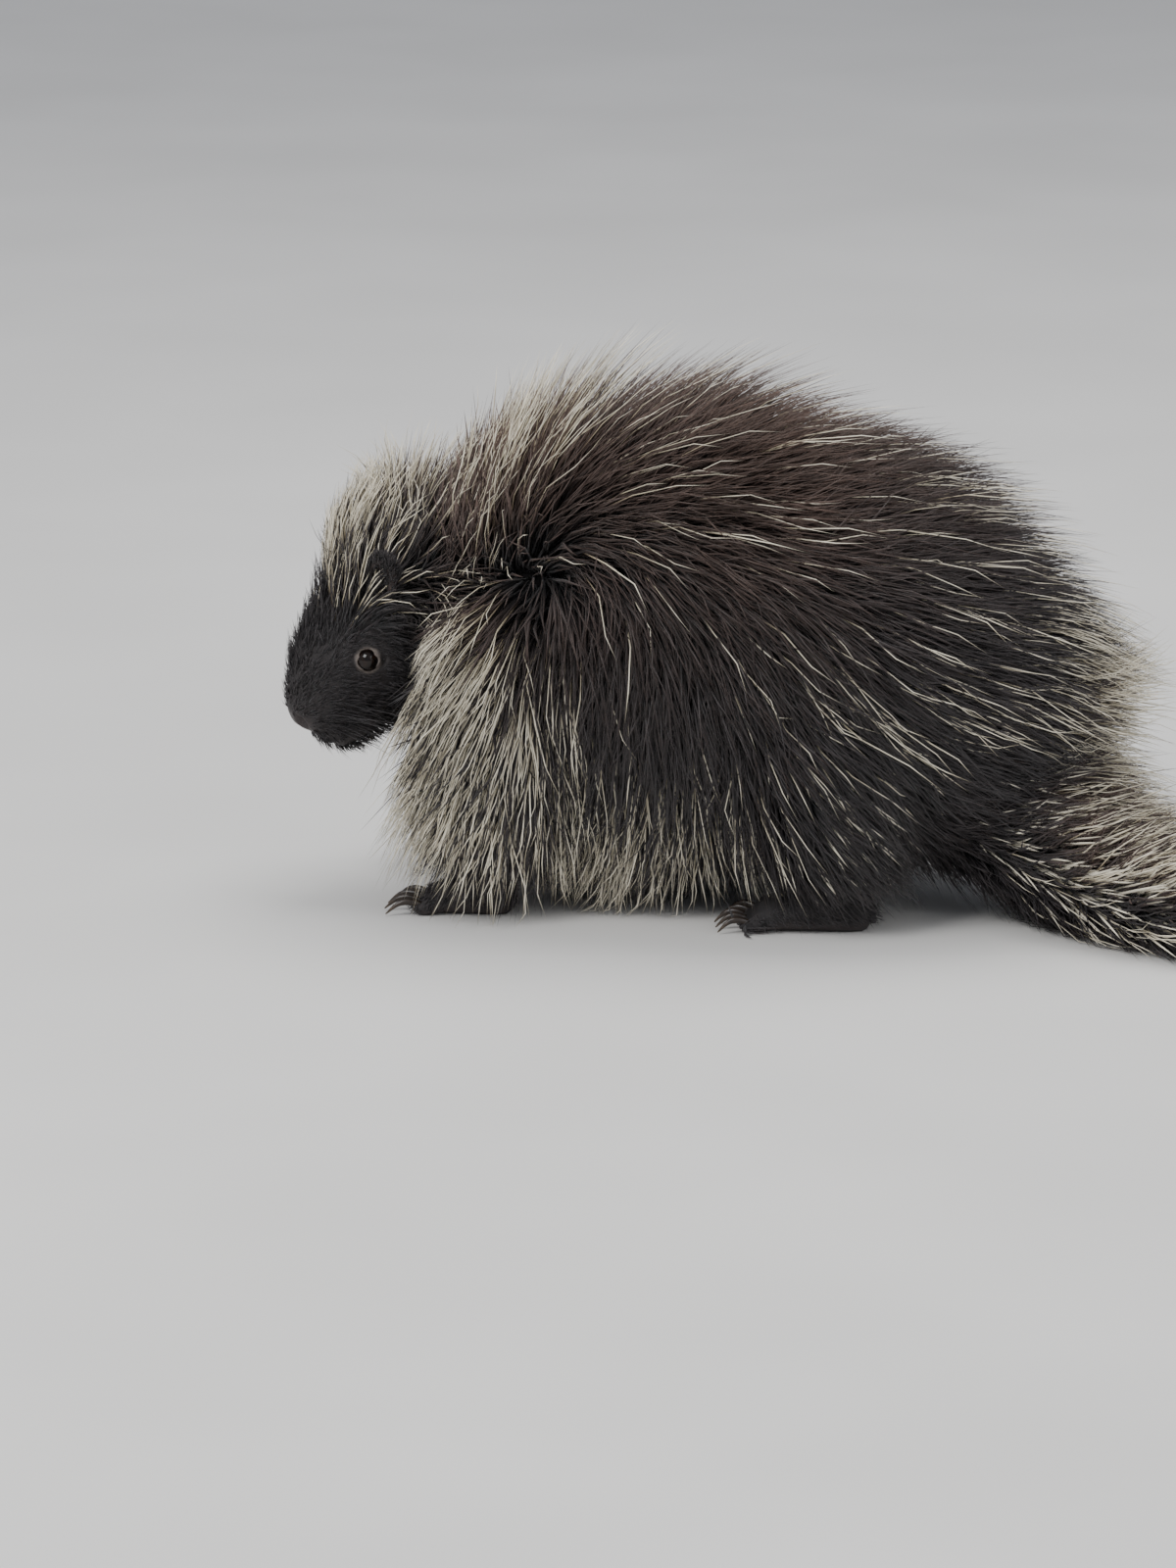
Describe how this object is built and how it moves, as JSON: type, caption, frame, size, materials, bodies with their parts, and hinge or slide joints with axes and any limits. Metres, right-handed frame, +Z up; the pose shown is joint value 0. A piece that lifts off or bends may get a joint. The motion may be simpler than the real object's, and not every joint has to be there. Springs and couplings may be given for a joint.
{
  "type": "porcupine model",
  "caption": "Life-size still model of a North American porcupine, standing with lowered head, shaggy quilled coat and tail laid on the floor.",
  "frame": {"origin": "middle of the base of the bounding box, on the floor", "axes": "+Z up, head towards -X, tail towards +X, the animal's left side towards -Y"},
  "size_m": [0.6448, 0.2828, 0.3591],
  "materials": {
    "fur": "coarse dark brown hair with pale tips and quills",
    "skin": "dark bare skin with very short hair",
    "claw": "dark brown horn, smooth",
    "eye": "wet black eye"
  },
  "bodies": {
    "root": {"torso": "fur", "neck": "fur", "head": "fur", "tail": "fur", "ear_left": "skin", "eye_left": "eye", "foreleg_left": "fur", "hindleg_left": "fur", "claw_foreleg_left_1": "claw", "claw_foreleg_left_2": "claw", "claw_foreleg_left_3": "claw", "claw_foreleg_left_4": "claw", "claw_hindleg_left_1": "claw", "claw_hindleg_left_2": "claw", "claw_hindleg_left_3": "claw", "claw_hindleg_left_4": "claw", "claw_hindleg_left_5": "claw", "ear_right": "skin", "eye_right": "eye", "foreleg_right": "fur", "hindleg_right": "fur", "claw_foreleg_right_1": "claw", "claw_foreleg_right_2": "claw", "claw_foreleg_right_3": "claw", "claw_foreleg_right_4": "claw", "claw_hindleg_right_1": "claw", "claw_hindleg_right_2": "claw", "claw_hindleg_right_3": "claw", "claw_hindleg_right_4": "claw", "claw_hindleg_right_5": "claw"}
  },
  "joints": []
}
